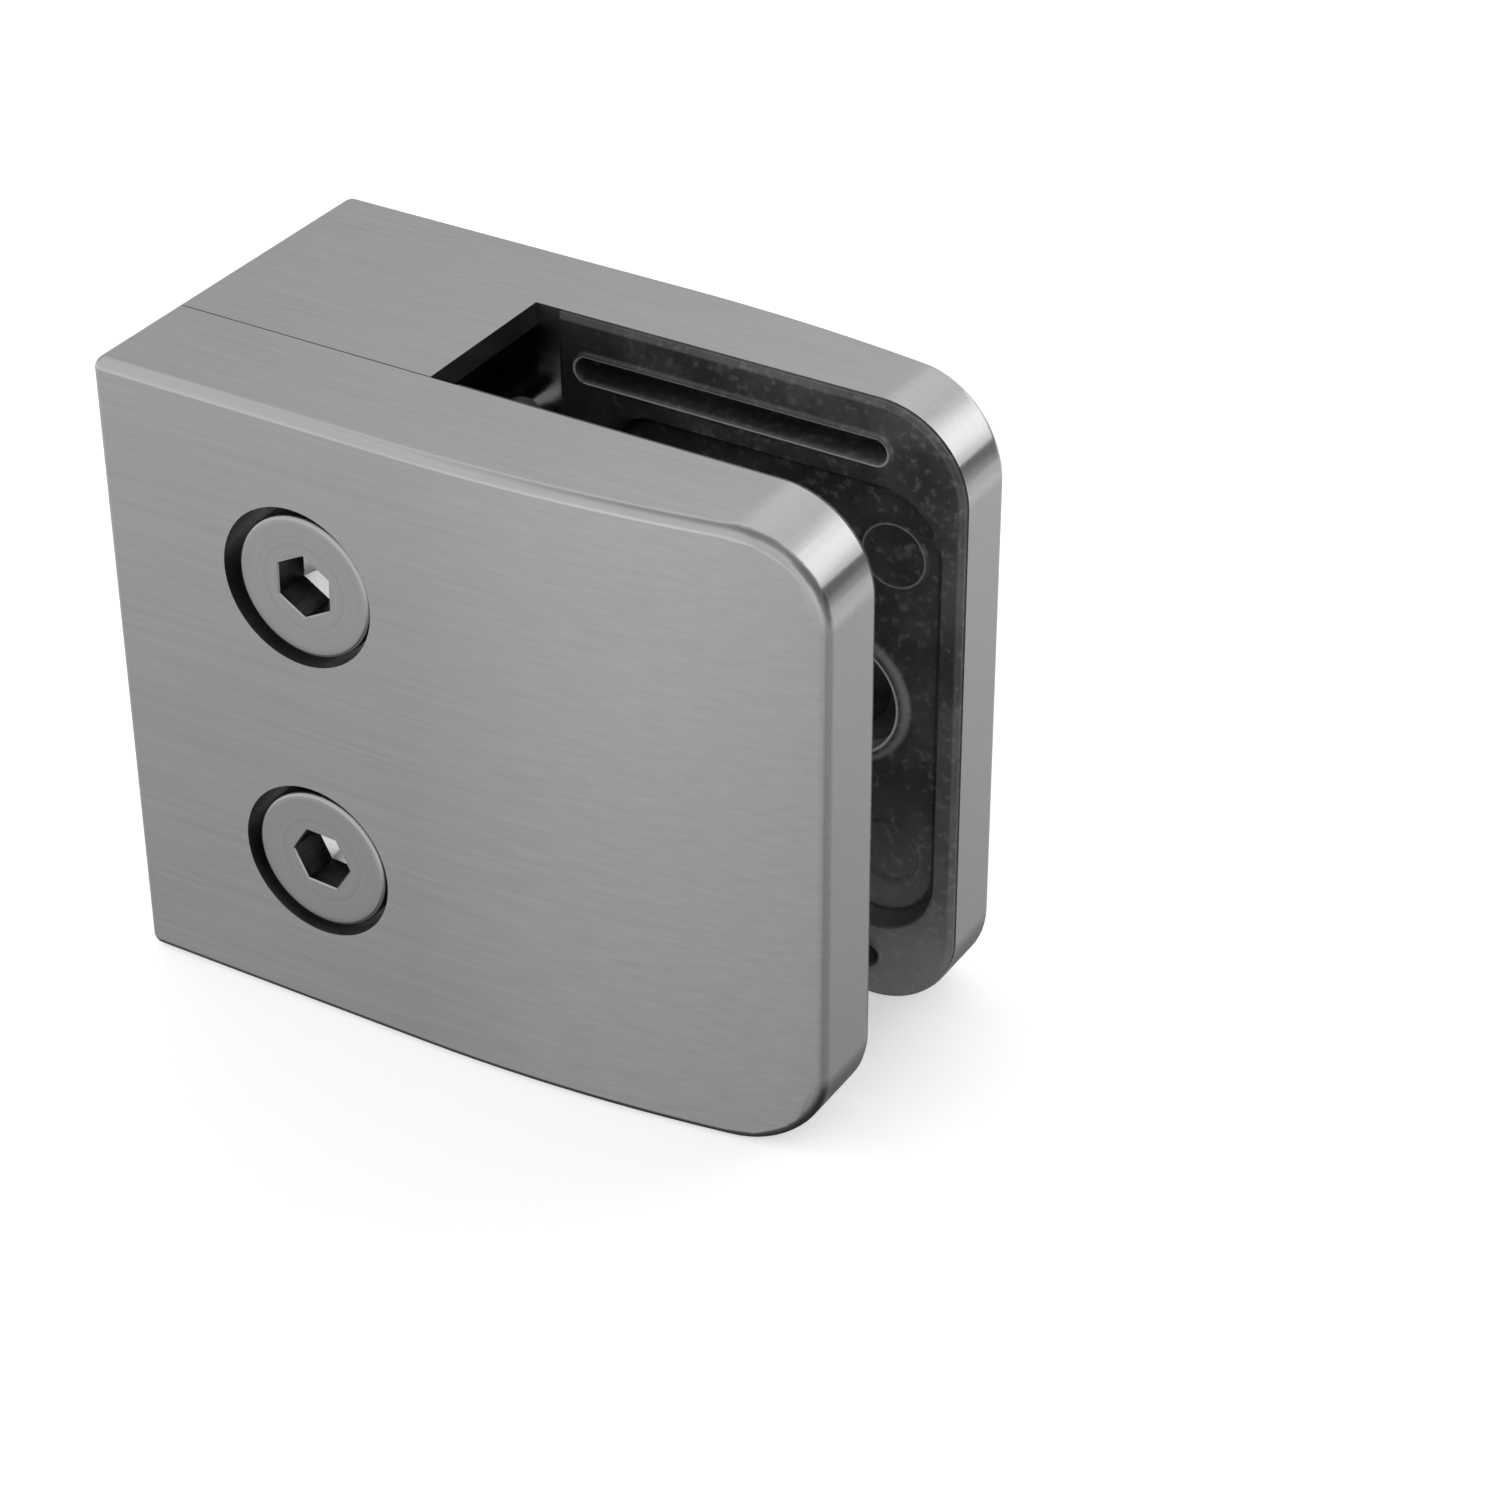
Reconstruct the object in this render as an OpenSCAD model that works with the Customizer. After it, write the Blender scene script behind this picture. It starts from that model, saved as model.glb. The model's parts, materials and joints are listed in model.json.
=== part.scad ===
// Glass panel clamp for a flat post.
// Two stainless castings, a rear body and a front cover, grip the edge of a glass panel between rubber liners.
// Origin: centre of the post bolt's hole, on the face that meets the post.
// +X points into the glass panel, -Y out of the front cover, +Z up. Lengths are in millimetres.

/* [Clamp] */
// Length from the post face to the tips of the jaws
clamp_length = 53.6; // [50:0.2:60]
// Height of the clamp
clamp_height = 47; // [43:0.5:60]
// Width of the slot between the two metal jaws
slot_width = 12.4; // [10:0.1:16]
// Distance from the post face to the root of the slot
slot_root = 20.7; // [18:0.1:26]
// Thickness of the front cover, before its face starts to curve
front_wall = 9; // [8:0.1:12]
// Thickness of the rear jaw, before its face starts to curve
rear_wall = 7.5; // [7:0.1:11]
// Radius of the jaws' free corners, seen from the front
corner_r = 6.6; // [4:0.1:10]
// Radius that rounds every outer edge
edge_r = 0.9; // [0.3:0.05:1]

/* [Curved faces] */
// Radius of the long curve that thins both jaws towards their tips
face_curve_r = 132.5; // [120:0.5:300]
// Distance from the post face at which the front face starts to curve
front_curve_start = 23.5; // [20:0.5:35]
// Distance from the post face at which the rear face starts to curve
rear_curve_start = 28.2; // [20:0.1:35]

/* [Root block] */
// Thickness of the wall that is bolted to the post
post_wall = 5; // [4:0.1:6.5]
// Thickness of the lips above and below the hollow
hollow_lip = 1.7; // [1.2:0.1:3]
// Depth of the hollow behind the slot's rear face
hollow_depth = 3.2; // [1:0.1:4.5]
// Radius of the hollow's corners
hollow_corner_r = 2; // [1:0.1:4]
// Diameter of the hole for the post bolt
post_hole_d = 8.4; // [6.4:0.1:10.5]
// Width of the fine seam between the cover and the body
seam_w = 0.1; // [0.05:0.05:0.4]
// Depth of the seam
seam_depth = 0.1; // [0.05:0.05:0.3]

/* [Clamp screws] */
// Distance of the screws behind the root of the slot
screw_setback = 5; // [4.6:0.1:7]
// Distance between the two screws
screw_spacing = 21.6; // [19:0.1:26]
// Outer diameter of the thread
thread_d = 6; // [5:0.1:6.4]
// Length of the screw below its head
screw_length = 16; // [12:0.5:18]
// Diameter of the head
head_d = 10.4; // [9:0.1:11]
// Height of the head
head_h = 4; // [3.6:0.1:4.5]
// Radius that rounds the head's top edge
head_edge_r = 0.35; // [0.1:0.05:0.6]
// Depth of the head's top below the cover's face
head_recess = 0.3; // [0.2:0.05:1.2]
// Chamfer at the end of the thread
tip_chamfer = 0.8; // [0.3:0.1:1.2]
// Hexagon key size across its flats
key_size = 4; // [3:0.5:5]
// Depth of the hexagon socket
key_depth = 3; // [1.5:0.1:3.4]
// Width of the countersunk mouth outside the hexagon's corners
mouth_margin = 0.15; // [0.05:0.05:0.3]
// Angle at which the upper screw's hexagon came to rest
upper_key_angle = 28; // [0:1:60]
// Angle at which the lower screw's hexagon came to rest
lower_key_angle = -3; // [-30:1:30]
// Diameter of the recess around each head
counterbore_d = 11.7; // [11.2:0.1:13]
// Diameter of the cover's hole for the thread
cover_hole_d = 6.6; // [6.5:0.1:7.5]
// Gap all round between the thread and the body's tapped hole
thread_clearance = 0.05; // [0.02:0.01:0.1]
// Depth of the tapped hole, from the seam
tapped_depth = 13.2; // [12.5:0.1:14]
// Diameter of the boss around each tapped hole
boss_d = 9.8; // [8.8:0.1:11]

/* [Locating nibs] */
// Diameter of the nibs that stop the glass at the root of the slot
nib_d = 3.2; // [2.4:0.1:3.6]
// Distance of each nib beyond its screw, along the clamp's height
nib_offset = 4.7; // [4:0.1:6]
// Height of the nibs above the rear jaw's inner face
nib_height = 1.6; // [1:0.1:3]

/* [Gasket seats] */
// Width of the metal rim around the seat in each jaw
seat_rim = 1.3; // [1:0.1:2]
// Depth of the seat in each jaw
seat_depth = 2; // [1.2:0.1:2.4]
// Distance from the root of the slot to the seat
seat_start = 2.3; // [2:0.1:4]
// Distance of the safety pin's seats from the tips of the jaws
pin_from_tip = 9.6; // [9:0.1:14]
// Diameter of the pin's seats
pin_seat_d = 6.1; // [4:0.1:8]
// Depth of the pin's seats below the gasket's seat
pin_seat_depth = 3; // [1.5:0.1:3.2]

/* [Gaskets] */
// Height of the rubber above the metal jaw
gasket_proud = 0.6; // [0.4:0.05:1]
// Distance of the rubber's edge inside the jaw's outline
gasket_inset = 0.1; // [0.05:0.05:0.5]
// Overlap of the gasket's flange on the jaw at the root of the slot
root_overlap = 0.3; // [0.2:0.05:0.6]
// Gap between the gasket's plug and the wall of its seat
plug_gap = 0.1; // [0.05:0.05:0.3]
// Distance of the dished panel from the gasket's tip edge
panel_tip_margin = 2.3; // [2:0.1:4]
// Distance of the dished panel from the clamp's top and bottom
panel_end_margin = 6.1; // [5.4:0.1:8]
// Distance of the dished panel from the root of the slot
panel_root_margin = 4.6; // [3.6:0.1:8]
// Depth of the dished panel below the rubber's face
panel_depth = 1.25; // [0.6:0.05:1.5]
// Radius of the dished panel's corners
panel_corner_r = 4.2; // [2:0.1:6]
// Width of the groove around the panel
groove_w = 0.45; // [0.2:0.05:0.8]
// Depth of the groove below the panel
groove_depth = 0.35; // [0.1:0.05:0.5]
// Diameter of the hole that the safety pin passes through
pin_hole_d = 8.9; // [8:0.1:9.4]
// Width of the raised collar around that hole, at its top
collar_w = 0.55; // [0.3:0.05:0.8]
// Width of the collar's sloping flank
collar_flank = 0.8; // [0.3:0.05:1.2]
// Height of the collar above the panel
collar_h = 0.45; // [0.2:0.05:0.8]
// Distance of the long pockets from the clamp's top and bottom, to their middle
pocket_end_margin = 3.45; // [3.3:0.05:3.6]
// Height of the long pockets
pocket_h = 2.6; // [2:0.1:2.8]
// Distance of the long pockets from the root of the slot
pocket_root_margin = 3.5; // [3.1:0.1:8]
// Distance of the long pockets from the tips of the jaws
pocket_tip_margin = 5.7; // [5:0.1:10]
// Depth of the long pockets
pocket_depth = 1.6; // [0.8:0.1:2]
// Width of the raised bead around each pocket
bead_w = 0.4; // [0.2:0.05:0.5]
// Height of the bead above the rubber's face
bead_h = 0.25; // [0.1:0.05:0.4]
// Distance of the round marks from the tips of the jaws
mark_from_tip = 5.75; // [5:0.05:8]
// Distance of each round mark from the clamp's middle
mark_offset = 11.75; // [10:0.05:13]
// Outer diameter of the round marks
mark_d = 4.9; // [3:0.1:5.2]
// Width and height of the ridge that draws each mark
mark_ridge = 0.22; // [0.1:0.02:0.4]

/* [Hidden] */

// Steps around full circles, around the rounded outer edges and along the curved faces
$fn = 64;
edge_steps = 24;
curve_steps = 14;
// Overrun of a cut past the surface that it opens
overrun = 1;
steel_colour = [0.62, 0.62, 0.63];
screw_colour = [0.68, 0.68, 0.69];
rubber_colour = [0.09, 0.09, 0.09];

half_height = clamp_height / 2;
half_slot = slot_width / 2;
front_y = -half_slot - front_wall;
rear_y = half_slot + rear_wall;
screw_x = slot_root - screw_setback;
screw_z = screw_spacing / 2;
head_top_y = front_y + head_recess;
head_seat_y = head_top_y + head_h;
hollow_floor_y = half_slot + hollow_depth;
nib_z = screw_z + nib_offset;
seat_x = slot_root + seat_start;
seat_floor_y = half_slot + seat_depth;
pin_x = clamp_length - pin_from_tip;
gasket_face_y = half_slot - gasket_proud;
panel_y = gasket_face_y + panel_depth;
pocket_z = half_height - pocket_end_margin;
mark_x = clamp_length - mark_from_tip;

// ---- Helpers ----

// A flat shape drawn in X and Z, carried along Y
module slab(y_from, y_to) {
    translate([0, y_to, 0])
        rotate([90, 0, 0])
            linear_extrude(height = y_to - y_from)
                children();
}

// A round bar along Y
module bar(x, z, y_from, y_to, d) {
    translate([x, y_to, z])
        rotate([90, 0, 0])
            cylinder(d = d, h = y_to - y_from);
}

// The children, once in the upper and once in the lower half
module both_halves() {
    children();
    mirror([0, 0, 1]) children();
}

// The clamp from the front, drawn in by inset: square at the post, round at the free corners
module side_outline(inset, left) {
    right = clamp_length - inset;
    end = half_height - inset;
    translate([left, -end])
        square([clamp_length - corner_r - left, 2 * end]);
    translate([left, corner_r - half_height])
        square([right - left, clamp_height - 2 * corner_r]);
    for (side = [-1, 1])
        translate([clamp_length - corner_r, side * (half_height - corner_r)])
            circle(r = corner_r - inset);
}

// A rectangle with round corners, from x_from to x_to and half_z to each side
module round_rectangle(x_from, x_to, half_z, r) {
    translate([x_from + r, -half_z])
        square([x_to - x_from - 2 * r, 2 * half_z]);
    translate([x_from, r - half_z])
        square([x_to - x_from, 2 * (half_z - r)]);
    for (x = [x_from + r, x_to - r])
        for (side = [-1, 1])
            translate([x, side * (half_z - r)])
                circle(r = r);
}

// Points of a jaw's long curve, from its start to the tip. It is drawn in by the edge radius.
function face_curve(start) =
    let (r = face_curve_r - edge_r, last = asin((clamp_length - edge_r - start) / r))
    [for (i = [0 : curve_steps])
        let (turn = last * i / curve_steps)
        [start + r * sin(turn), face_curve_r - r * cos(turn)]];

// The clamp from above, drawn in by the edge radius
module plan_outline() {
    front = [for (p = face_curve(front_curve_start)) [p[0], front_y + p[1]]];
    rear = [for (p = face_curve(rear_curve_start)) [p[0], rear_y - p[1]]];
    back_again = [for (i = [curve_steps : -1 : 0]) rear[i]];
    post = [[edge_r, rear_y - edge_r], [edge_r, front_y + edge_r]];
    polygon(concat(front, back_again, post));
}

// The whole outside of the clamp, with no slot and every edge round
module outer_form() {
    minkowski() {
        intersection() {
            slab(front_y, rear_y) side_outline(edge_r, edge_r);
            translate([0, 0, edge_r - half_height])
                linear_extrude(height = clamp_height - 2 * edge_r)
                    plan_outline();
        }
        sphere(r = edge_r, $fn = edge_steps);
    }
}

// The part of the outer form between two planes across Y
module casting(y_from, y_to) {
    intersection() {
        outer_form();
        translate([-overrun, y_from, -half_height - overrun])
            cube([clamp_length + 2 * overrun, y_to - y_from, clamp_height + 2 * overrun]);
    }
}

// Cut for the gasket's plug and for the safety pin, in the rear jaw's place
module gasket_seat() {
    slab(half_slot - overrun, seat_floor_y) side_outline(seat_rim, seat_x);
    bar(pin_x, 0, seat_floor_y - overrun, seat_floor_y + pin_seat_depth, pin_seat_d);
}

// ---- Rear body ----

// The slot for the glass, from its root out past the tips
module slot_cut() {
    translate([slot_root, -half_slot - overrun, -half_height - overrun])
        cube([clamp_length, slot_width + overrun, clamp_height + 2 * overrun]);
}

// The hollow of the root block. In front it opens into the slot, behind it stops at a rib.
module hollow_cut() {
    half_z = half_height - hollow_lip;
    slab(-half_slot - overrun, half_slot)
        round_rectangle(post_wall, slot_root + 2 * hollow_corner_r, half_z, hollow_corner_r);
    slab(half_slot - overrun, hollow_floor_y)
        round_rectangle(post_wall, slot_root, half_z, hollow_corner_r);
}

// A shallow step around the root block that draws the seam
module seam_cut() {
    slab(-half_slot - overrun, -half_slot + seam_w)
        difference() {
            translate([-overrun, -half_height - overrun])
                square([slot_root + overrun, clamp_height + 2 * overrun]);
            translate([seam_depth, seam_depth - half_height])
                square([slot_root, clamp_height - 2 * seam_depth]);
        }
}

module rear_body() {
    color(steel_colour)
        difference() {
            union() {
                difference() {
                    casting(-half_slot, rear_y + overrun);
                    slot_cut();
                    hollow_cut();
                    seam_cut();
                    gasket_seat();
                }
                both_halves() {
                    bar(screw_x, screw_z, -half_slot, hollow_floor_y + overrun, boss_d);
                    bar(slot_root, nib_z, half_slot - nib_height, hollow_floor_y + overrun, nib_d);
                }
            }
            both_halves()
                bar(screw_x, screw_z, -half_slot - overrun, tapped_depth - half_slot,
                    thread_d + 2 * thread_clearance);
            translate([-overrun, 0, 0])
                rotate([0, 90, 0])
                    cylinder(d = post_hole_d, h = post_wall + 2 * overrun);
        }
}

// ---- Front cover ----

module front_cover() {
    color(steel_colour)
        difference() {
            casting(front_y - overrun, -half_slot);
            mirror([0, 1, 0]) gasket_seat();
            both_halves() {
                bar(screw_x, screw_z, front_y - overrun, head_seat_y, counterbore_d);
                bar(screw_x, screw_z, front_y, -half_slot + overrun, cover_hole_d);
            }
        }
}

// ---- Clamp screws ----

// A low-head socket screw. The underside of its head is at 0, its head points up and key_angle turns it.
module socket_screw(key_angle) {
    thread_r = thread_d / 2;
    head_r = head_d / 2;
    corner_d = key_size / cos(30);
    mouth_r = corner_d / 2 + mouth_margin;
    difference() {
        rotate_extrude()
            union() {
                polygon([
                    [0, -screw_length], [thread_r - tip_chamfer, -screw_length],
                    [thread_r, tip_chamfer - screw_length], [thread_r, 0],
                    [head_r, 0], [head_r, head_h - head_edge_r],
                    [head_r - head_edge_r, head_h - head_edge_r], [head_r - head_edge_r, head_h],
                    [0, head_h]]);
                translate([head_r - head_edge_r, head_h - head_edge_r])
                    intersection() {
                        circle(r = head_edge_r);
                        square(head_edge_r);
                    }
            }
        translate([0, 0, head_h - key_depth])
            rotate([0, 0, key_angle])
                cylinder(d = corner_d, h = key_depth + overrun, $fn = 6);
        translate([0, 0, head_h - mouth_r * tan(30)])
            cylinder(r1 = 0, r2 = mouth_r, h = mouth_r * tan(30));
    }
}

// A screw at its place in the cover, side is 1 for the upper and -1 for the lower one
module placed_screw(side, key_angle) {
    color(screw_colour)
        translate([screw_x, head_seat_y, side * screw_z])
            rotate([90, 0, 0])
                socket_screw(key_angle);
}

module upper_clamp_screw() {
    placed_screw(1, upper_key_angle);
}

module lower_clamp_screw() {
    placed_screw(-1, lower_key_angle);
}

// ---- Gaskets ----

// A long pocket seen from the front, in the upper half, made larger all round by grow
module pocket_outline(grow) {
    half_z = pocket_h / 2 + grow;
    x_from = slot_root + pocket_root_margin - grow;
    x_to = clamp_length - pocket_tip_margin + grow;
    last_x = x_to - half_z;
    translate([x_from + half_z, pocket_z - half_z])
        square([last_x - x_from - half_z, 2 * half_z]);
    for (x = [x_from + half_z, last_x])
        translate([x, pocket_z])
            circle(r = half_z);
}

// The dished panel seen from the front, made larger all round by grow
module panel_outline(grow) {
    round_rectangle(slot_root + panel_root_margin - grow, clamp_length - panel_tip_margin + grow,
        half_height - panel_end_margin + grow, panel_corner_r + grow);
}

// The sloping collar around the pin's hole
module collar() {
    top_d = pin_hole_d + 2 * collar_w;
    translate([pin_x, panel_y, 0])
        rotate([90, 0, 0])
            cylinder(d1 = top_d + 2 * collar_flank, d2 = top_d, h = collar_h);
}

// The gasket in the rear jaw's place: a flange on the metal rim and a plug in the seat
module gasket() {
    difference() {
        union() {
            difference() {
                union() {
                    slab(gasket_face_y, half_slot)
                        side_outline(gasket_inset, seat_x - root_overlap);
                    slab(half_slot, seat_floor_y)
                        side_outline(seat_rim + plug_gap, seat_x + plug_gap);
                    both_halves()
                        slab(gasket_face_y - bead_h, half_slot) pocket_outline(bead_w);
                }
                slab(gasket_face_y - overrun, panel_y) panel_outline(0);
                slab(panel_y - overrun, panel_y + groove_depth)
                    difference() {
                        panel_outline(0);
                        panel_outline(-groove_w);
                    }
                both_halves()
                    slab(gasket_face_y - overrun, gasket_face_y + pocket_depth) pocket_outline(0);
            }
            collar();
            both_halves()
                difference() {
                    bar(mark_x, mark_offset, panel_y - mark_ridge, panel_y + groove_depth, mark_d);
                    bar(mark_x, mark_offset, panel_y - overrun, panel_y, mark_d - 2 * mark_ridge);
                }
        }
        bar(pin_x, 0, gasket_face_y - overrun, seat_floor_y + overrun, pin_hole_d);
    }
}

module rear_gasket() {
    color(rubber_colour) gasket();
}

module front_gasket() {
    color(rubber_colour)
        mirror([0, 1, 0]) gasket();
}

rear_body();
front_cover();
upper_clamp_screw();
lower_clamp_screw();
rear_gasket();
front_gasket();
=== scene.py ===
"""The looks of a glass panel clamp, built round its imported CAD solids.

Lengths are in metres. +X points into the glass, -Y out of the front cover, +Z up.
Shapes are worked out in millimetres and brought to metres when their mesh is made.
"""
import json
import math

import bmesh
import bpy
import numpy as np
from mathutils import Matrix, Vector


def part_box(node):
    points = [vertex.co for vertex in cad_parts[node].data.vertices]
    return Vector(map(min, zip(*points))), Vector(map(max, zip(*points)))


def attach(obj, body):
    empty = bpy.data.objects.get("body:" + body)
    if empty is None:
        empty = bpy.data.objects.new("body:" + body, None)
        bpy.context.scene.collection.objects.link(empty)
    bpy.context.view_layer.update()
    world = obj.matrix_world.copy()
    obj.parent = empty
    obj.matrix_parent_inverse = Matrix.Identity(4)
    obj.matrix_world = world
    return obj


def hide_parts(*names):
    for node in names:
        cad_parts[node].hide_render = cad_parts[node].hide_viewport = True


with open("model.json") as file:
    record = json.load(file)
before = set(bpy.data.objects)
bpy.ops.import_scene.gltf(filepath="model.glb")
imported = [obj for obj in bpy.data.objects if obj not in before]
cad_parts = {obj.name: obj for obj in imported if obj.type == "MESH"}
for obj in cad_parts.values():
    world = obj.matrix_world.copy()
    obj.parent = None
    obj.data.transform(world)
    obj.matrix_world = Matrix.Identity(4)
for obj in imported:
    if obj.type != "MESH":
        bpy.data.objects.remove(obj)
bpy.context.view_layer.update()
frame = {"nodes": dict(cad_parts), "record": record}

MM = 0.001
TURN = 2 * math.pi

# ---- Small helpers ----


def box_mm(cad_node):
    """A CAD node's lowest and highest corners at rest, in millimetres."""
    return [np.array(corner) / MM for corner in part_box(cad_node)]


def linear(hex_colour):
    """An sRGB hex colour as the linear RGBA that a shader takes."""
    channels = [int(hex_colour[i:i + 2], 16) / 255 for i in (1, 3, 5)]
    return [c / 12.92 if c <= 0.04045 else ((c + 0.055) / 1.055) ** 2.4 for c in channels] + [1]


def smooth(low, high, x):
    """0 below low, 1 above high, and the cubic 3t^2 - 2t^3 between them."""
    t = np.clip((x - low) / (high - low), 0, 1)
    return t * t * (3 - 2 * t)


def bump_ridge(distance, middle, width):
    """A rounded ridge: (1 + cos) / 2 of the distance from its middle, 0 beyond half its width."""
    t = np.clip(2 * (distance - middle) / width, -1, 1)
    return (1 + np.cos(math.pi * t)) / 2


def grid_faces(rows, columns, closed=False):
    """The quads of a grid of rows x columns vertices, in row order. A closed grid joins its last column to
    its first."""
    index = np.arange(rows * columns).reshape(rows, columns)
    if closed:
        index = np.hstack([index, index[:, :1]])
    return np.stack([index[:-1, :-1], index[:-1, 1:], index[1:, 1:], index[1:, :-1]], -1).reshape(-1, 4)


def make_mesh(name, points_mm, faces, sharp_deg=180):
    """A mesh from arrays: n x 3 points in millimetres, and a list of arrays of faces, quads or triangles.
    Edges that turn by more than an angle in degrees stay sharp."""
    mesh = bpy.data.meshes.new(name)
    mesh.from_pydata((points_mm * MM).tolist(), [], sum([part.tolist() for part in faces], []))
    mesh.validate()
    mesh.shade_smooth()
    mesh.set_sharp_from_angle(angle=math.radians(sharp_deg))
    return mesh


def add_piece(name, mesh, body, materials, cad_node):
    """A finished piece at the origin that rides on a body and stands for a CAD node."""
    piece = bpy.data.objects.new(name, mesh)
    bpy.context.scene.collection.objects.link(piece)
    for material in materials:
        mesh.materials.append(material)
    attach(piece, body)
    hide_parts(cad_node)
    return piece


def node(tree, kind, settings=None, **inputs):
    """Adds a node. Settings are its own properties. An input is named, or numbered as i0, and takes a value,
    a socket, or a node, whose first output it then takes."""
    made = tree.nodes.new(kind)
    for key, value in (settings or {}).items():
        setattr(made, key, value)
    for key, value in inputs.items():
        socket = made.inputs[int(key[1:]) if key[1:].isdigit() else key.replace("_", " ")]
        if isinstance(value, bpy.types.Node):
            value = value.outputs[0]
        if isinstance(value, bpy.types.NodeSocket):
            tree.links.new(value, socket)
        else:
            socket.default_value = value
    return made


def new_material(name):
    """An empty node material, and its tree."""
    material = bpy.data.materials.new(name)
    material.use_nodes = True
    material.node_tree.nodes.clear()
    return material, material.node_tree


# ---- Places and sizes in millimetres: what the frame gives, then the liners' forms that it doesn't ----

mount_at = {mount["name"]: np.array(mount["pos_m"]) / MM for mount in frame["record"]["mounts"]}
screw_low, screw_high = box_mm("upper_clamp_screw")
liner_low, liner_high = box_mm("rear_gasket")

HALF_HEIGHT = -mount_at["base"][2]
PIN_X = mount_at["rear_pin_seat"][0]
SCREW_X, SCREW_Z = (screw_low + screw_high)[[0, 2]] / 2
LINER_INSET = 0.1
LINER_FROM_X = liner_low[0]
LINER_TO_X = liner_high[0]
LINER_HALF_Z = liner_high[2]
TIP_X = LINER_TO_X + LINER_INSET
CORNER_R = 6.6
ROOT_X = 20.7
JAW_Y = 6.2
HOLE_R = 4.45
POCKET_X, POCKET_Z, POCKET_CORE, POCKET_R = 36.05, 19.9, 11.0, 0.85
MARK_X, MARK_Z, MARK_R = 47.85, 11.75, 2.34

# ---- Materials ----

MULTIPLY = {"operation": "MULTIPLY"}
MULTIPLY_ADD = {"operation": "MULTIPLY_ADD"}
SUBTRACT = {"operation": "SUBTRACT"}
ABSOLUTE = {"operation": "ABSOLUTE"}
SMOOTH_STEP = {"interpolation_type": "SMOOTHSTEP"}
COLOURS = {"data_type": "RGBA"}
CLOUD_SIZE = 14


def across_brushing(tree):
    """The direction across the brushing: up the jaws' broad faces, and along Y on the band round their
    edges."""
    normal = node(tree, "ShaderNodeNewGeometry").outputs["Normal"]
    axes = node(tree, "ShaderNodeSeparateXYZ", Vector=normal)
    facing = node(tree, "ShaderNodeMath", ABSOLUTE, i0=axes.outputs["Y"])
    broad_face = node(tree, "ShaderNodeMapRange", SMOOTH_STEP, Value=facing, From_Min=0.55, From_Max=0.85)
    across = node(tree, "ShaderNodeMix", {"data_type": "VECTOR"}, i0=broad_face, i4=(0, 1, 0), i5=(0, 0, 1))
    return across.outputs[1]


def stainless(name, light, dark, place, line_mm, roughness, spread=0.04, brushed=0.0):
    """Stainless steel with fine drawn lines. They change the colour and the gloss a little from line to line,
    and a broad cloud changes the colour across the piece."""
    material, tree = new_material(name)
    everywhere = node(tree, "ShaderNodeTexCoord").outputs["Object"]
    if place == "turning":
        along = node(tree, "ShaderNodeAttribute", {"attribute_name": "turning"}).outputs["Vector"]
    else:
        along = node(tree, "ShaderNodeMapping", Vector=everywhere, Scale=place)
    lines = node(tree, "ShaderNodeTexNoise", Vector=along, Scale=1 / (line_mm * MM), Detail=2.0,
                 Roughness=0.6)
    cloud = node(tree, "ShaderNodeTexNoise", Vector=everywhere, Scale=1 / (CLOUD_SIZE * MM), Detail=2.0)
    line_tone = node(tree, "ShaderNodeMapRange", Value=lines, From_Min=0.3, From_Max=0.7, To_Max=0.75)
    tone = node(tree, "ShaderNodeMath", MULTIPLY_ADD, i0=cloud, i1=0.35, i2=line_tone)
    steel = node(tree, "ShaderNodeMix", COLOURS, i0=tone, i6=linear(dark), i7=linear(light))
    gloss = node(tree, "ShaderNodeMapRange", Value=lines, From_Min=0.25, From_Max=0.75,
                 To_Min=roughness - spread, To_Max=roughness + spread)
    shader = node(tree, "ShaderNodeBsdfPrincipled", Base_Color=steel.outputs[2], Metallic=1.0,
                  Roughness=gloss, Anisotropic=brushed)
    if brushed:
        tree.links.new(across_brushing(tree), shader.inputs["Tangent"])
    node(tree, "ShaderNodeOutputMaterial", Surface=shader)
    return material


def ring_distance(tree, place, middle_mm, straight_mm, radius_mm):
    """Distance in metres to a ring round a straight core, or round a point, on the jaw's face and its mirror
    below: that to the core less the radius. The length of the core is taken from its middle."""
    place = node(tree, "ShaderNodeVectorMath", MULTIPLY, i0=place, i1=(1, 0, 1))
    place = node(tree, "ShaderNodeVectorMath", ABSOLUTE, i0=place)
    place = node(tree, "ShaderNodeVectorMath", SUBTRACT, i0=place, i1=Vector(middle_mm) * MM)
    place = node(tree, "ShaderNodeVectorMath", ABSOLUTE, i0=place)
    place = node(tree, "ShaderNodeVectorMath", SUBTRACT, i0=place, i1=(straight_mm * MM, 0, 0))
    place = node(tree, "ShaderNodeVectorMath", {"operation": "MAXIMUM"}, i0=place, i1=(0, 0, 0))
    length = node(tree, "ShaderNodeVectorMath", {"operation": "LENGTH"}, i0=place).outputs["Value"]
    return node(tree, "ShaderNodeMath", SUBTRACT, i0=length, i1=radius_mm * MM)


# Edges that the mould leaves proud, drawn as lines of painted highlight that turn to painted shade low down:
# middle, half length of core, radius, half width of the line, and strength
PAINTED_LIGHT_EDGES = (
    ((POCKET_X, 0, POCKET_Z - 0.06), POCKET_CORE, POCKET_R + 0.12, 0.13, 0.6),
    ((MARK_X, 0, MARK_Z), 0, MARK_R, 0.12, 0.3),
    ((PIN_X, 0, 0), 0, HOLE_R + 0.07, 0.18, 0.85),
    ((PIN_X, 0, 0), 0, HOLE_R + 0.65, 0.4, 0.2),
)
# Near the root, as far as the x given next, the liner is blacker as painted shade deep in the slot. Low down
# it is greyer, and its lines of painted highlight turn dark as painted shade.
SLOT_SHADE_TO_X = 38
GREY_FROM_Z, GREYEST_Z = -4, -22
PALE_LINES_Z, DARK_LINES_Z = -6, -10
GRAIN_SIZE, GRAIN_DEPTH, BLOOM_SIZE = 0.5, 0.05, 5
# Real dust is finer than this, and is drawn coarse enough to show
DUST_SIZE = 0.6
# Width over which the painted shade inside the pockets fades in
POCKET_SHADE_FADE = 0.4


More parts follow.
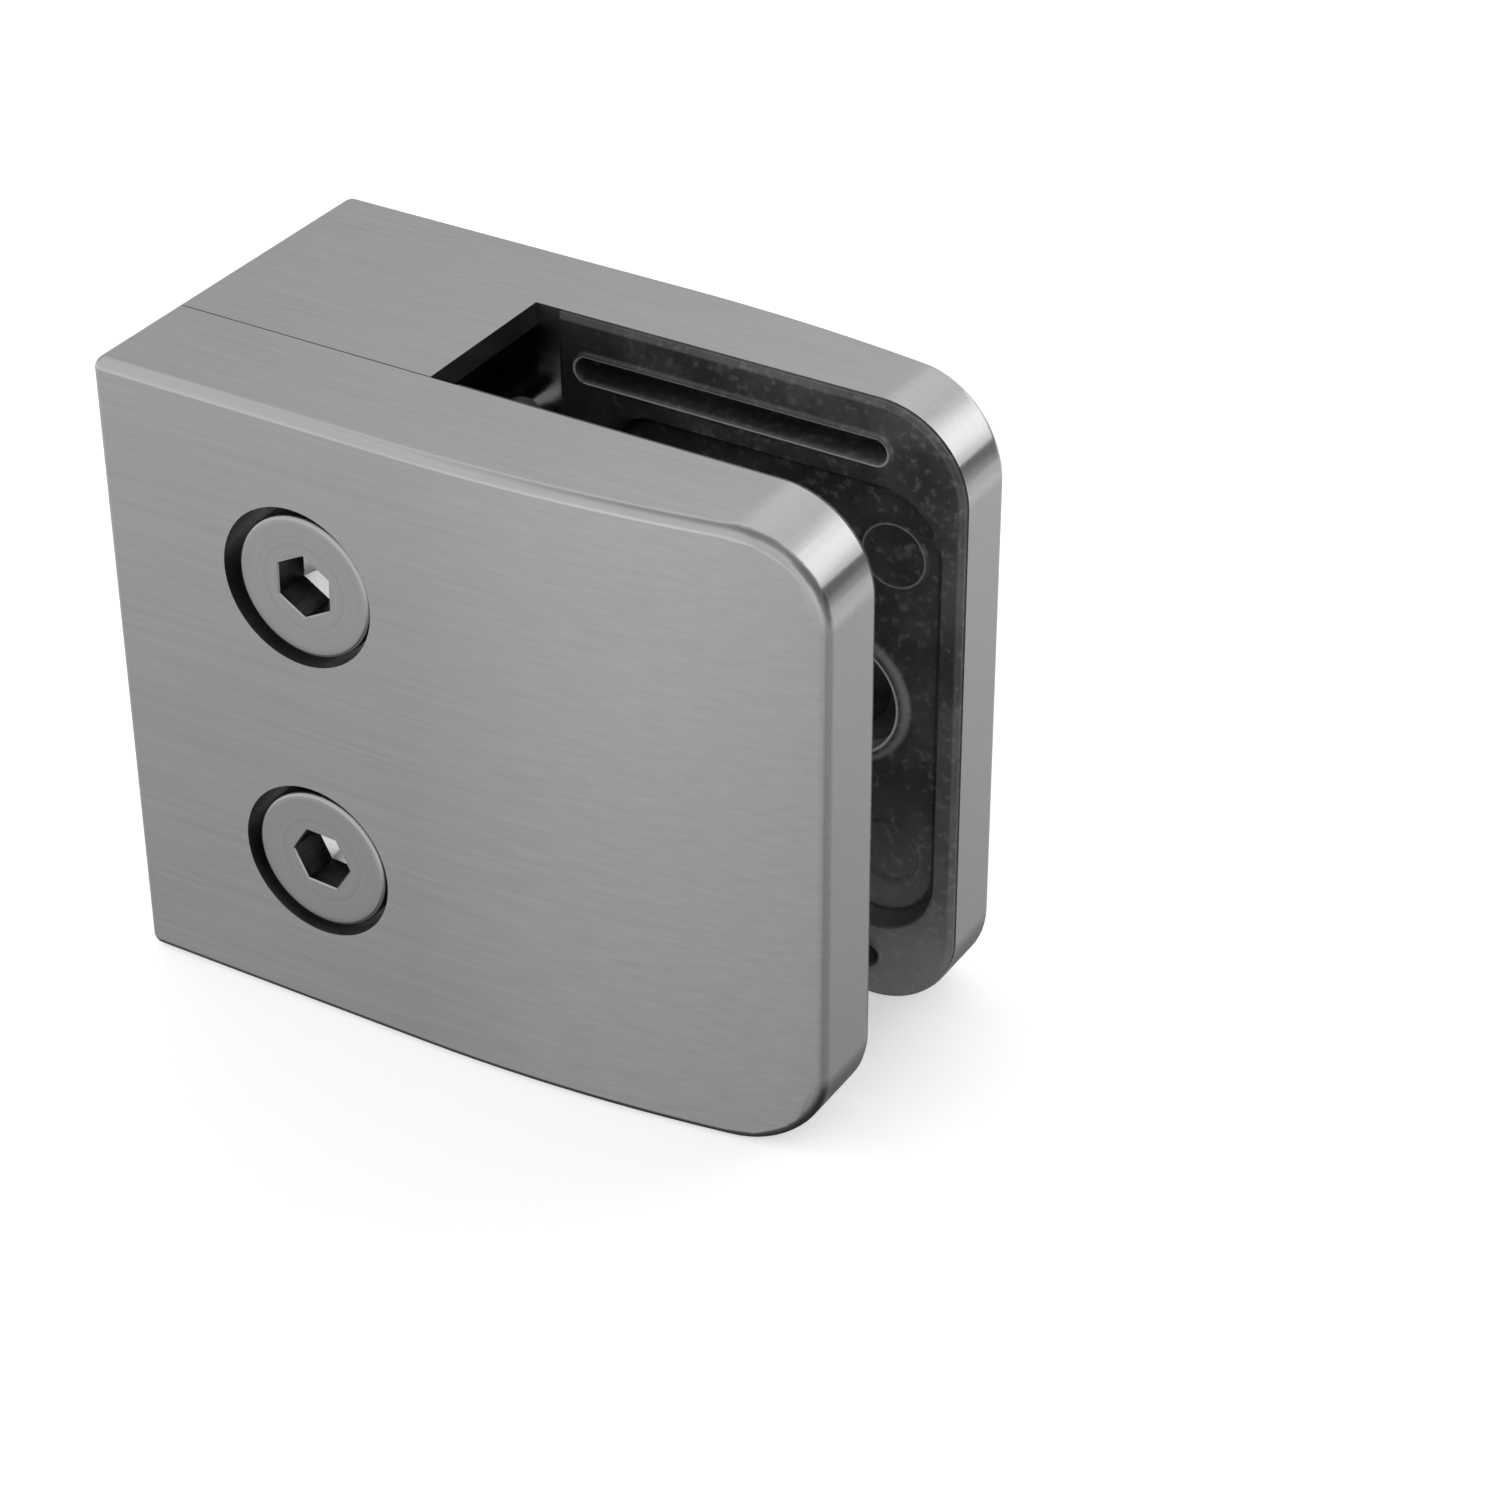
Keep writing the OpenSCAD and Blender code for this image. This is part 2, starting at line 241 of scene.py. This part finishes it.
def moulded_rubber(name):
    """Near black, with the faint grain of its mould, a grey bloom in clouds, pale specks of dust and a soft
    gloss. Its ridges carry painted highlights as pale lines, which turn to painted shade low down. Painted
    shade keeps it blacker inside the pockets and deep in the slot."""
    material, tree = new_material(name)
    place = node(tree, "ShaderNodeTexCoord").outputs["Object"]
    axes = node(tree, "ShaderNodeSeparateXYZ", Vector=place)
    grain = node(tree, "ShaderNodeTexNoise", Vector=place, Scale=1 / (GRAIN_SIZE * MM), Detail=5.0,
                 Roughness=0.65)
    cloud = node(tree, "ShaderNodeTexNoise", Vector=place, Scale=1 / (BLOOM_SIZE * MM), Detail=4.0,
                 Roughness=0.6)
    bloom = node(tree, "ShaderNodeMapRange", SMOOTH_STEP, Value=cloud, From_Min=0.35, From_Max=0.7)
    tone = node(tree, "ShaderNodeMix", COLOURS, i0=bloom, i6=linear("#303030"), i7=linear("#4C4C4C"))
    dust = node(tree, "ShaderNodeTexNoise", Vector=place, Scale=1 / (DUST_SIZE * MM), Detail=2.0)
    dust = node(tree, "ShaderNodeMapRange", SMOOTH_STEP, Value=dust, From_Min=0.52, From_Max=0.75, To_Max=0.4)
    tone = node(tree, "ShaderNodeMix", COLOURS, i0=dust, i6=tone.outputs[2], i7=linear("#7C7C7C"))
    # Painted shade: the rubber turns near black inside the pockets
    inside = ring_distance(tree, place, (POCKET_X, 0, POCKET_Z), POCKET_CORE, POCKET_R)
    inside = node(tree, "ShaderNodeMapRange", SMOOTH_STEP, Value=inside, From_Min=-POCKET_SHADE_FADE * MM,
                  From_Max=0, To_Min=0.6, To_Max=0)
    tone = node(tree, "ShaderNodeMix", COLOURS, i0=inside, i6=tone.outputs[2], i7=linear("#101010"))
    # Painted shade: blacker near the root, deep in the slot
    slot_shade = node(tree, "ShaderNodeMapRange", SMOOTH_STEP, Value=axes.outputs["X"], From_Min=ROOT_X * MM,
                 From_Max=SLOT_SHADE_TO_X * MM, To_Min=0.9, To_Max=0)
    tone = node(tree, "ShaderNodeMix", COLOURS, i0=slot_shade, i6=tone.outputs[2], i7=linear("#1A1A1A"))
    grey = node(tree, "ShaderNodeMapRange", SMOOTH_STEP, Value=axes.outputs["Z"], From_Min=GREYEST_Z * MM,
                From_Max=GREY_FROM_Z * MM, To_Min=0.55, To_Max=0)
    tone = node(tree, "ShaderNodeMix", COLOURS, i0=grey, i6=tone.outputs[2], i7=linear("#787878"))
    # The ridge lines: a pale painted highlight higher up, and dark painted shade low down
    pale = node(tree, "ShaderNodeMapRange", SMOOTH_STEP, Value=axes.outputs["Z"], From_Min=DARK_LINES_Z * MM,
                From_Max=PALE_LINES_Z * MM)
    line = node(tree, "ShaderNodeMix", COLOURS, i0=pale, i6=linear("#242424"), i7=linear("#C8C8C8"))
    for middle, straight, radius, width, strength in PAINTED_LIGHT_EDGES:
        edge = ring_distance(tree, place, middle, straight, radius)
        edge = node(tree, "ShaderNodeMath", ABSOLUTE, i0=edge)
        edge = node(tree, "ShaderNodeMapRange", SMOOTH_STEP, Value=edge, From_Max=width * MM,
                    To_Min=strength, To_Max=0)
        tone = node(tree, "ShaderNodeMix", COLOURS, i0=edge, i6=tone.outputs[2], i7=line.outputs[2])
    relief = node(tree, "ShaderNodeBump", Strength=0.25, Distance=GRAIN_DEPTH * MM, Height=grain)
    shader = node(tree, "ShaderNodeBsdfPrincipled", Base_Color=tone.outputs[2], Roughness=0.45, Normal=relief)
    node(tree, "ShaderNodeOutputMaterial", Surface=shader)
    return material


# Cast, then brushed along X with a belt: long hairlines, and a sheen drawn out across them. The hairlines of
# a fine belt are under 0.1 mm wide, too fine to show, and are drawn at 0.35 mm. The other steels' lines are
# drawn coarser than real in the same way.
BRUSHED = stainless("brushed stainless steel 316", "#A9A9A9", "#A1A1A1", (0.03, 1, 1), 0.35, 0.25, 0.015, 0.8)
# Turned: fine rings round the head
TURNED = stainless("turned stainless steel A2", "#A8A8A8", "#989898", "turning", 0.3, 0.3)
# The socket's floor: lighter than the head, as a painted glint
GLINT_PAINTED_STEEL = stainless("stainless steel A2 with painted glint", "#D4D4D4", "#C0C0C0", "turning", 0.2, 0.3)
# The socket's broached walls, with their scratch lines, darkened as painted shade deep in the socket
SHADE_PAINTED_STEEL = stainless("stainless steel A2 with painted shade", "#4C4C4C", "#333333", (1, 0.1, 1), 0.2, 0.35)
# Moulded in one piece with its ridges and pockets
RUBBER = moulded_rubber("moulded EPDM rubber")

# ---- Castings ----

WELD_GAP = 1e-6
CASTING_SHARP_DEG = 24


def casting_skin(name, cad_node, body):
    """A copy of a CAD casting with its loose triangles welded, so that its rounded edges shade smoothly."""
    mesh = frame["nodes"][cad_node].data.copy()
    mesh.name = name
    mesh.materials.clear()
    loose = bmesh.new()
    loose.from_mesh(mesh)
    bmesh.ops.remove_doubles(loose, verts=loose.verts, dist=WELD_GAP)
    bmesh.ops.dissolve_degenerate(loose, edges=loose.edges, dist=WELD_GAP)
    loose.to_mesh(mesh)
    loose.free()
    mesh.attributes.remove(mesh.attributes["custom_normal"])
    mesh.shade_smooth()
    mesh.set_sharp_from_angle(angle=math.radians(CASTING_SHARP_DEG))
    piece = add_piece(name, mesh, body, [BRUSHED], cad_node)
    shade = piece.modifiers.new("flats stay flat", "WEIGHTED_NORMAL")
    shade.keep_sharp = True
    shade.weight = 100


casting_skin("rear_casting", "rear_body", "body")
casting_skin("front_casting", "front_cover", "cover")

# ---- Screws ----

HEAD_TOP_Y = screw_low[1]
HEAD_R = (screw_high[0] - screw_low[0]) / 2
HEAD_H, HEAD_EDGE, HEAD_HEEL = 4.0, 0.3, 0.2
KEY_FLAT, KEY_DEPTH, KEY_EDGE = 2.0, 2.75, 0.1
POINT_DEPTH = 1.2
THREAD_R, THREAD_PITCH, THREAD_CREST, THREAD_DEPTH = 3.0, 1.0, 0.108, 0.613
NECK, RUN_IN, LEAD = 0.15, 1.2, 0.9
SCREW_END = screw_high[1] - screw_low[1]
# How finely a screw is drawn: vertices in a turn, and rows over the floor, the face, the edge and a pitch
AROUND = 120
FLOOR_ROWS, FACE_ROWS, EDGE_ROWS, PITCH_ROWS = 6, 9, 8, 16
# The first and last rows close to this share of the floor, and this radius in mm, and not to a point
PIN_HOLE = 0.02
SCREW_SHARP_DEG = 28


def hexagon(angle, key_angle):
    """Distance from the middle to a hexagon's wall: that to its flat, over the cosine of the angle off the
    flat's middle."""
    return KEY_FLAT / np.cos((angle - key_angle) % (math.pi / 3) - math.pi / 6)


def thread_radius(depth, angle):
    """Radius of a 60 degree thread: a sawtooth of the depth less the turn, cut flat at crest and root."""
    phase = (depth / THREAD_PITCH + angle / TURN) % 1.0
    height = math.cos(math.pi / 6) * THREAD_PITCH * np.abs(2 * phase - 1)
    return THREAD_R - np.clip(height - THREAD_CREST, 0, THREAD_DEPTH)


def socket_screw(name, cad_node, body, side, key_angle, play):
    """A screw turned about its axis. Its rows run from the hollow point under the socket's floor, up the
    socket's walls, out over the head and down the thread. Each row is a radius, as a function of the angle,
    at a depth below the head's top. The screw stands to one side in its hole by its play."""
    angle = np.arange(AROUND) * TURN / AROUND + key_angle
    key = hexagon(angle, key_angle)
    rows = []

    def lathe(radius, depth):
        """Adds rows: each depth in a column, and its radius in a column or over the whole turn."""
        depth = np.reshape(depth, (-1, 1))
        shape = (len(depth), AROUND)
        rows.append((np.broadcast_to(radius, shape), np.broadcast_to(depth, shape)))

    share = np.linspace(PIN_HOLE, 1, FLOOR_ROWS)[:, None]
    lathe(share * key, KEY_DEPTH + POINT_DEPTH * (1 - share))
    lathe(key, KEY_EDGE)
    out = np.linspace(0, 1, FACE_ROWS)[:, None]
    lathe((key + KEY_EDGE) * (1 - out) + (HEAD_R - HEAD_EDGE) * out, 0 * out)
    turn = np.linspace(0, math.pi / 2, EDGE_ROWS)[1:, None]
    lathe(HEAD_R - HEAD_EDGE * (1 - np.sin(turn)), HEAD_EDGE * (1 - np.cos(turn)))
    heel = np.array([[HEAD_R, HEAD_H - HEAD_HEEL], [HEAD_R - HEAD_HEEL, HEAD_H], [THREAD_R + NECK, HEAD_H]])
    lathe(heel[:, :1], heel[:, 1:])
    depth = np.arange(HEAD_H + NECK, SCREW_END, THREAD_PITCH / PITCH_ROWS)[:, None]
    cut = np.minimum(1, (depth - HEAD_H) / RUN_IN)
    tip = THREAD_R - np.maximum(0, depth - (SCREW_END - LEAD))
    lathe(np.minimum(THREAD_R - (THREAD_R - thread_radius(depth, angle)) * cut, tip), depth)
    lathe(THREAD_R - LEAD, SCREW_END)
    lathe(PIN_HOLE, SCREW_END)

    radius, deep = (np.vstack(part) for part in zip(*rows))
    points = np.stack([SCREW_X + play + radius * np.cos(angle), HEAD_TOP_Y + deep,
                       side * SCREW_Z + radius * np.sin(angle)], -1).reshape(-1, 3)
    mesh = make_mesh(name, points, [grid_faces(len(radius), AROUND, closed=True)], SCREW_SHARP_DEG)
    turning = mesh.attributes.new("turning", "FLOAT_VECTOR", "POINT")
    turning.data.foreach_set("vector", (np.stack([radius, deep, 0 * deep], -1) * MM).ravel())
    add_piece(name, mesh, body, [GLINT_PAINTED_STEEL, SHADE_PAINTED_STEEL, TURNED], cad_node)

    # The floor's rows take the first material, the wall's row the second, and the rest the third
    row_of_face = np.arange(len(mesh.polygons)) // AROUND
    finish = np.clip(row_of_face - FLOOR_ROWS + 2, 0, 2).astype(np.int32)
    mesh.polygons.foreach_set("material_index", finish)


socket_screw("upper_socket_screw", "upper_clamp_screw", "upper_screw", 1, math.radians(28), 0.35)
socket_screw("lower_socket_screw", "lower_clamp_screw", "lower_screw", -1, math.radians(-3), 0.15)

# ---- Gaskets ----

FACE_Y = 5.6
# The liner's back and its plug's end stay a hair off the metal
BACK_Y = JAW_Y - 0.01
PLUG_END_Y = liner_high[1] - 0.02
PLUG_INSET, PLUG_FROM_X = 1.4, 23.1
# The grid's cell, and the band at the upper and lower edges where its rows draw together
CELL, EDGE_BAND, BAND_ROWS = 0.13, 0.35, 8
ON_RIM = 1e-6
LINER_SHARP_DEG = 50

# Walls start and end at these distances from their outline, inwards negative. A ridge or groove has a height
# or depth, the distance of its middle from the outline, and a width.
POCKET_WALL, POCKET_DEPTH = (0.02, -0.45), 1.6
BEAD_H, BEAD_AT, BEAD_W = 0.22, 0.15, 0.6
PANEL_FROM_X, PANEL_TO_X, PANEL_HALF_Z, PANEL_R = 25.3, 52.0, 17.4, 4.9
PANEL_WALL, PANEL_DEPTH = (0.05, -0.4), 1.25
GROOVE_DEPTH, GROOVE_AT, GROOVE_W = 0.35, -0.62, 0.5
COLLAR_FOOT_R, COLLAR_TOP_R, COLLAR_H = 5.4, 4.75, 0.45
MARK_H, MARK_W = 0.12, 0.6
ROOT_EDGE_R, EDGE_ROUND = 0.2, 0.3


def box_distance(x, z, x_from, x_to, half_z, r):
    """Signed distance to a rectangle with round corners, negative inside."""
    qx = np.abs(x - (x_from + x_to) / 2) - (x_to - x_from) / 2 + r
    qz = np.abs(z) - half_z + r
    return np.hypot(np.maximum(qx, 0), np.maximum(qz, 0)) + np.minimum(np.maximum(qx, qz), 0) - r


def outline_x(z, inset, left, u):
    """Across the jaw's outline at height z: from left at u 0 to the tip, or the round corner, at u 1."""
    r = CORNER_R - inset
    past = np.clip(np.abs(z) - (HALF_HEIGHT - CORNER_R), 0, r)
    right = TIP_X - CORNER_R + np.sqrt(np.maximum(r * r - past * past, 0))
    return left + u * (right - left)


def rubber_height(x, z):
    """Height of the rubber over its face: ridges and dishes, each a function of the distance to its
    outline."""
    along = np.maximum(np.abs(x - POCKET_X) - POCKET_CORE, 0)
    pocket = np.hypot(along, np.abs(z) - POCKET_Z) - POCKET_R
    panel = box_distance(x, z, PANEL_FROM_X, PANEL_TO_X, PANEL_HALF_Z, PANEL_R)
    hole = np.hypot(x - PIN_X, z)
    mark = np.hypot(x - MARK_X, np.abs(z) - MARK_Z)
    root_edge = box_distance(x, z, LINER_FROM_X, 2 * TIP_X, LINER_HALF_Z, ROOT_EDGE_R)
    outer_edge = box_distance(x, z, -TIP_X, LINER_TO_X, LINER_HALF_Z, CORNER_R - LINER_INSET)
    height = BEAD_H * bump_ridge(pocket, BEAD_AT, BEAD_W) - POCKET_DEPTH * smooth(*POCKET_WALL, pocket)
    height -= PANEL_DEPTH * smooth(*PANEL_WALL, panel)
    height -= GROOVE_DEPTH * bump_ridge(panel, GROOVE_AT, GROOVE_W)
    height += COLLAR_H * smooth(COLLAR_FOOT_R, COLLAR_TOP_R, hole)
    height += MARK_H * bump_ridge(mark, MARK_R, MARK_W)
    height -= EDGE_ROUND * smooth(-EDGE_ROUND, 0.0, np.maximum(root_edge, outer_edge))
    return height


def zip_rings(first, first_angle, second, second_angle):
    """Triangles between two rings of vertices sorted by angle: each edge of one ring meets the vertex of the
    other that comes just before the edge's end."""
    n, m = len(first), len(second)
    a_end = np.append(first_angle[1:], first_angle[0] + TURN)
    b_end = np.append(second_angle[1:], second_angle[0] + TURN)
    a_all = np.concatenate([first_angle - TURN, first_angle, first_angle + TURN])
    b_all = np.concatenate([second_angle - TURN, second_angle, second_angle + TURN])
    apex_b = (np.searchsorted(b_all, a_end, "left") - 1) % m
    apex_a = (np.searchsorted(a_all, b_end, "right") - 1) % n
    nearer = np.stack([first, np.roll(first, -1), second[apex_b]], -1)
    further = np.stack([np.roll(second, -1), second, first[apex_a]], -1)
    return np.concatenate([nearer, further])


def gasket(name, cad_node, body, side):
    """A moulded liner. Its face is a height over a grid across the jaw, and its sides and plug close it
    behind. The grid's vertices next to the pin's hole are drawn out from the pin's axis to the hole's rim."""
    band = LINER_HALF_Z - EDGE_BAND * np.linspace(0, 1, BAND_ROWS)[:-1] ** 2
    inner_z = LINER_HALF_Z - EDGE_BAND
    z_line = np.concatenate([-band, np.linspace(-inner_z, inner_z, int(2 * inner_z / CELL)), band[::-1]])
    u_line = np.linspace(0, 1, int((LINER_TO_X - LINER_FROM_X) / CELL))
    z, u = np.meshgrid(z_line, u_line, indexing="ij")
    x = outline_x(z, LINER_INSET, LINER_FROM_X, u)
    rows, columns = z.shape
    from_pin = np.hypot(x - PIN_X, z)
    quads = grid_faces(rows, columns)
    flat_r = from_pin.ravel()
    in_hole = flat_r <= HOLE_R + ON_RIM
    kept = quads[~in_hole[quads].all(1)]
    on_edge = np.zeros(rows * columns, bool)
    on_edge[kept.ravel()] = True
    on_edge &= in_hole
    pull = np.where(on_edge, HOLE_R / np.maximum(flat_r, ON_RIM), 1.0).reshape(rows, columns)
    x, z = PIN_X + (x - PIN_X) * pull, z * pull
    y = FACE_Y - rubber_height(x, z)
    face = np.stack([x, y, z], -1).reshape(-1, 3)
    index = np.arange(rows * columns).reshape(rows, columns)
    rim = np.concatenate([index[0, :-1], index[:-1, -1], index[-1, :0:-1], index[:0:-1, 0]])

    # Loops behind the face: the flange's back edge, the plug's root and the plug's end
    rim_x, rim_z, rim_u = (grid.ravel()[rim] for grid in (x, z, u))
    plug_z = rim_z * (HALF_HEIGHT - PLUG_INSET) / LINER_HALF_Z
    plug_x = outline_x(plug_z, PLUG_INSET, PLUG_FROM_X, rim_u)
    count = len(rim)
    back = np.stack([rim_x, np.full(count, BACK_Y), rim_z], -1)
    root = np.stack([plug_x, np.full(count, BACK_Y), plug_z], -1)
    plug = np.stack([plug_x, np.full(count, PLUG_END_Y), plug_z], -1)
    ring = np.flatnonzero(on_edge)
    ring_angle = np.arctan2(face[ring, 2], face[ring, 0] - PIN_X)
    order = np.argsort(ring_angle)
    ring, ring_angle = ring[order], ring_angle[order]
    hole_end = face[ring].copy()
    hole_end[:, 1] = PLUG_END_Y
    points = np.concatenate([face, back, root, plug, hole_end])
    start = rows * columns
    loops = [rim] + [np.arange(start + i * count, start + (i + 1) * count) for i in range(3)]
    skirt = [np.stack([a, np.roll(a, -1), np.roll(b, -1), b], -1) for a, b in zip(loops[:-1], loops[1:])]
    end_ring = np.arange(start + 3 * count, start + 3 * count + len(ring))
    wall = np.stack([ring, end_ring, np.roll(end_ring, -1), np.roll(ring, -1)], -1)
    plug_angle = np.arctan2(plug[:, 2], plug[:, 0] - PIN_X)
    order = np.argsort(plug_angle)
    cap = zip_rings(loops[3][order], plug_angle[order], end_ring, ring_angle)

    # Vertices that no face uses are dropped
    quads = np.concatenate([kept] + skirt + [wall])
    used = np.zeros(len(points), bool)
    used[quads.ravel()] = True
    used[cap.ravel()] = True
    new_index = np.cumsum(used) - 1
    points, quads, cap = points[used], new_index[quads], new_index[cap]
    if side < 0:
        points = points * [1, -1, 1]
        quads, cap = quads[:, ::-1], cap[:, ::-1]
    mesh = make_mesh(name, points, [quads, cap], LINER_SHARP_DEG)
    add_piece(name, mesh, body, [RUBBER], cad_node)


gasket("rear_liner", "rear_gasket", "body", 1)
gasket("front_liner", "front_gasket", "cover", -1)

# ---- Studio ----

FLOOR_GLOW = 0.45
FLOOR_HALF = 3000


def pale_floor():
    """A flat white table under the clamp, lit a little from within. The metal doesn't reflect it, but the
    studio's own table tone."""
    material, tree = new_material("pale studio floor")
    shader = node(tree, "ShaderNodeBsdfPrincipled", Base_Color=linear("#F2F2F2"), Roughness=0.9,
                  Emission_Color=linear("#FFFFFF"), Emission_Strength=FLOOR_GLOW)
    node(tree, "ShaderNodeOutputMaterial", Surface=shader)
    corners = FLOOR_HALF * np.array([[-1, -1, 0], [1, -1, 0], [1, 1, 0], [-1, 1, 0]]) - [0, 0, HALF_HEIGHT]
    mesh = make_mesh("floor", corners, [np.array([[0, 1, 2, 3]])])
    mesh.materials.append(material)
    floor = bpy.data.objects.new("floor", mesh)
    floor.visible_glossy = False
    bpy.context.scene.collection.objects.link(floor)


def direction(azimuth, elevation):
    """The unit vector at an azimuth from the front (-Y) towards +X, and an elevation, both in degrees."""
    a, e = math.radians(azimuth), math.radians(elevation)
    return Vector((math.sin(a) * math.cos(e), -math.cos(a) * math.cos(e), math.sin(e)))


def patch(tree, way, azimuth, elevation, inner, outer, outside=0.0, inside=1.0):
    """One value within an angle of a direction, and another beyond a wider one. Angles are in degrees."""
    middle = direction(azimuth, elevation)
    along = node(tree, "ShaderNodeVectorMath", {"operation": "DOT_PRODUCT"}, i0=way, i1=middle)
    return node(tree, "ShaderNodeMapRange", SMOOTH_STEP, Value=along.outputs["Value"],
                From_Min=math.cos(math.radians(outer)), From_Max=math.cos(math.radians(inner)),
                To_Min=outside, To_Max=inside)


def product(tree, factors):
    """All the values multiplied together."""
    total = factors[0]
    for factor in factors[1:]:
        total = node(tree, "ShaderNodeMath", MULTIPLY, i0=total, i1=factor)
    return total


# Each patch of the tent is an azimuth and elevation, and the angles off them at which it is full and gone.
# A tone's last number is what it multiplies by.
TENT_TONES = (
    (92, 14, 28, 48, 0.26),    # the open side, on the right
    (100, 82, 26, 42, 0.38),    # the dark ceiling
    (-128, 8, 18, 46, 0.6),    # the far left
    (14, -6, 10, 28, 0.72),    # the room in front
    (2, -28, 10, 42, 1.4),     # the table in front
    (95, -32, 15, 45, 0.92),   # the table on the right
    (155, -36, 15, 40, 1.2),   # the table behind, on the right
    (-165, 52, 12, 34, 1.25),  # the tent's back
)
SILL_PATCH = (140, 0, 25, 45)
WINDOW_PATCH = (150, 18, 16, 23)
# Two heights between which a tone changes, from -1, straight down, to 1, straight up, and its two values
TABLE_TONE = (-0.8, -0.15, 0.06, 1.5)
CLOTH_TONE = (-0.15, 0.1, 1.0, 0.76)
SILL_LEVELS = ((-0.36, -0.03, 0, 1), (0.08, 0.12, 1, 0))
WINDOW_LEVELS = ((0.08, 0.13, 0, 1), (0.48, 0.58, 1, 0))
WINDOW_GAIN = 1.55
SILL_TONE = 0.19


def studio():
    """A light tent: a table tone below, white cloth around, a window at the back right over a dark sill, and
    an open dark side. Straight past the table the eye meets plain white."""
    world = bpy.data.worlds.new("studio")
    world.use_nodes = True
    tree = world.node_tree
    tree.nodes.clear()
    way = node(tree, "ShaderNodeTexCoord").outputs["Generated"]
    height = node(tree, "ShaderNodeSeparateXYZ", Vector=way).outputs["Z"]

    def by_height(levels, kind=None):
        """A value that changes with the height."""
        low, high, below, above = levels
        return node(tree, "ShaderNodeMapRange", kind, Value=height, From_Min=low, From_Max=high, To_Min=below,
                    To_Max=above)

    sill = product(tree, [patch(tree, way, *SILL_PATCH)] + [by_height(levels) for levels in SILL_LEVELS])
    sill = node(tree, "ShaderNodeMapRange", Value=sill, To_Min=1, To_Max=SILL_TONE)
    window = [patch(tree, way, *WINDOW_PATCH)] + [by_height(levels) for levels in WINDOW_LEVELS]
    window = product(tree, window)
    patches = [patch(tree, way, *place, 1, factor) for *place, factor in TENT_TONES]
    tent = product(tree, [by_height(TABLE_TONE), by_height(CLOTH_TONE, SMOOTH_STEP), sill] + patches)
    tone = node(tree, "ShaderNodeMath", MULTIPLY_ADD, i0=window, i1=WINDOW_GAIN, i2=tent)
    seen = node(tree, "ShaderNodeLightPath").outputs["Is Camera Ray"]
    shown = node(tree, "ShaderNodeMix", i0=seen, i2=tone, i3=1.0)
    light = node(tree, "ShaderNodeBackground", Color=linear("#FFFFFF"), Strength=shown)
    node(tree, "ShaderNodeOutputWorld", Surface=light)
    bpy.context.scene.world = world
    bpy.context.scene.view_settings.view_transform = "Standard"


CAMERA_AZIMUTH, CAMERA_ELEVATION, CAMERA_ROLL = 31.0, 33.24, -0.2
CAMERA_TARGET = (42.14, -2.04, -0.35)
CAMERA_DISTANCE = 260.94
LENS, SENSOR_WIDTH = 94.84, 36.0
NEAREST, FURTHEST = 0.01, 10.0


def camera():
    """A long lens, from the front right and above."""
    back = direction(CAMERA_AZIMUTH, CAMERA_ELEVATION)
    place = (Vector(CAMERA_TARGET) + back * CAMERA_DISTANCE) * MM
    roll = Matrix.Rotation(math.radians(CAMERA_ROLL), 3, "Z")
    turned = (-back).to_track_quat("-Z", "Y").to_matrix() @ roll
    data = bpy.data.cameras.new("camera")
    data.lens, data.sensor_width = LENS, SENSOR_WIDTH
    data.clip_start, data.clip_end = NEAREST, FURTHEST
    made = bpy.data.objects.new("camera", data)
    made.matrix_world = Matrix.Translation(place) @ turned.to_4x4()
    bpy.context.scene.collection.objects.link(made)
    bpy.context.scene.camera = made


pale_floor()
studio()
camera()
